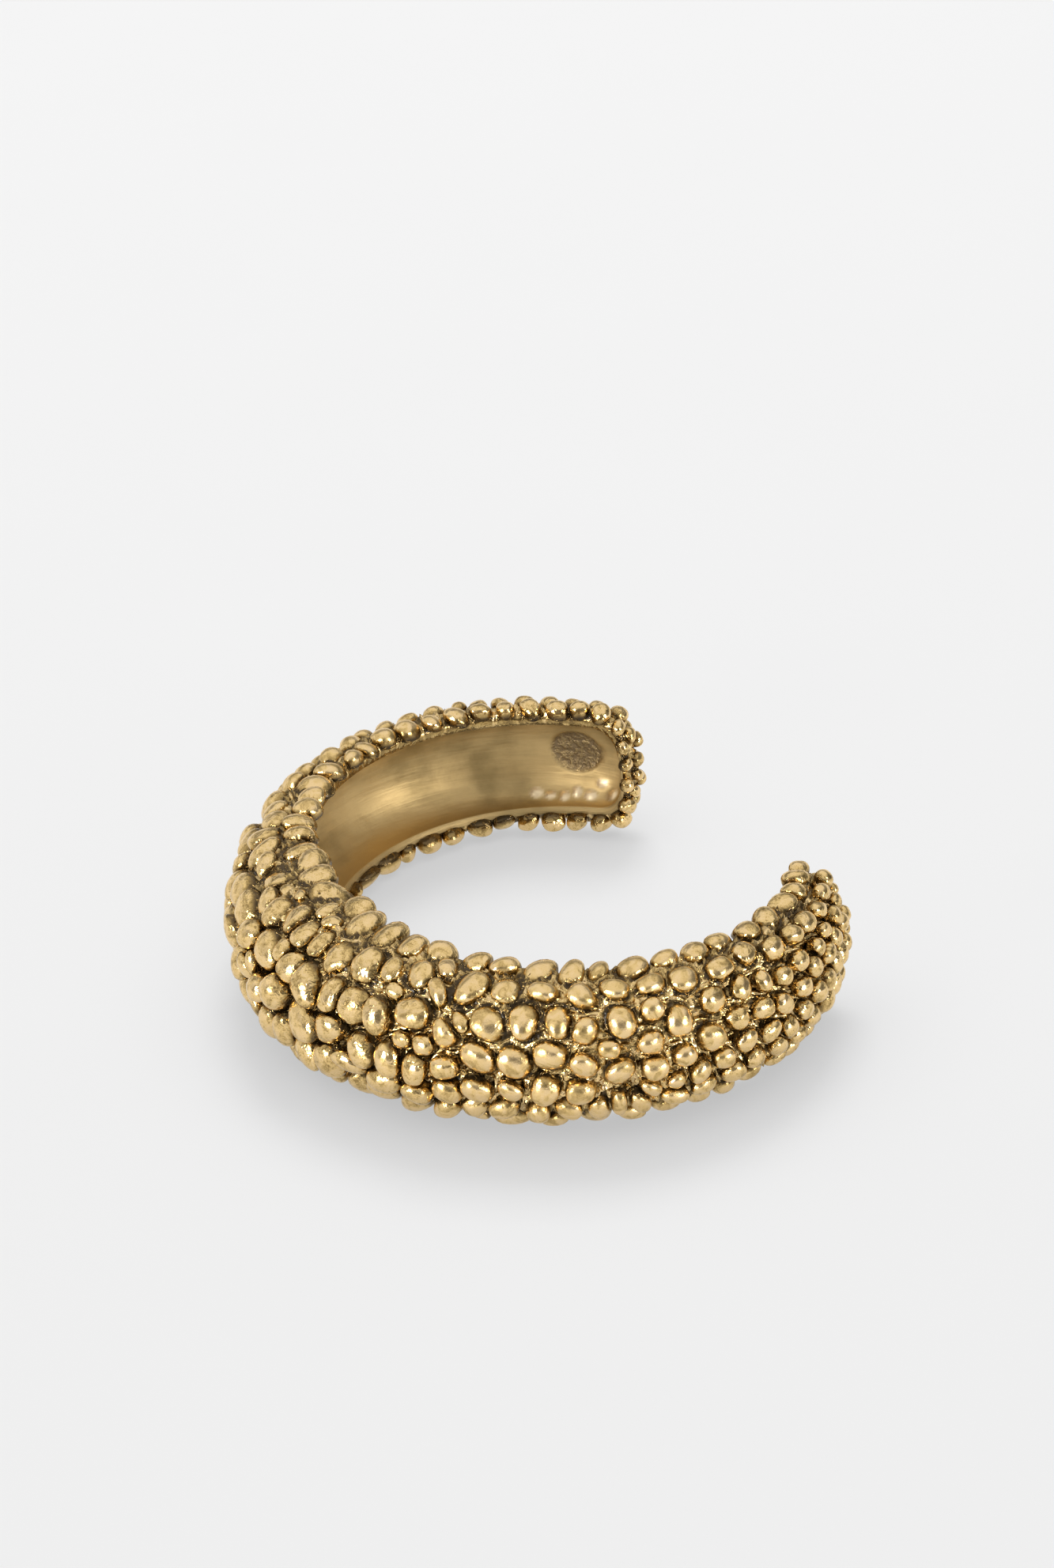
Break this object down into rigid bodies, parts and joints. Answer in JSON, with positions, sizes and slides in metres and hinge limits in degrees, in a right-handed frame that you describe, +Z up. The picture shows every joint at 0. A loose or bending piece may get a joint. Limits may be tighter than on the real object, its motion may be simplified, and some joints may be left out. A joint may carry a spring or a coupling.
{
  "type": "open cuff bracelet",
  "caption": "Open oval cuff bracelet, cast as one domed band paved with irregular metal granules and hollow on its smooth inner side, worn on the wrist.",
  "frame": {"origin": "the middle of the cuff's box in plan, on the surface that it lies on", "axes": "+Z up through the wrist opening, with the cuff lying on its side; +X along the oval's long axis; +Y towards the gap between the arms"},
  "size_m": [0.0716, 0.0534, 0.017],
  "materials": {
    "antique_brass": "cast and antiqued: softly polished gold-coloured high places over dark brown recesses"
  },
  "bodies": {
    "root": {"cuff": "antique_brass"}
  },
  "joints": []
}
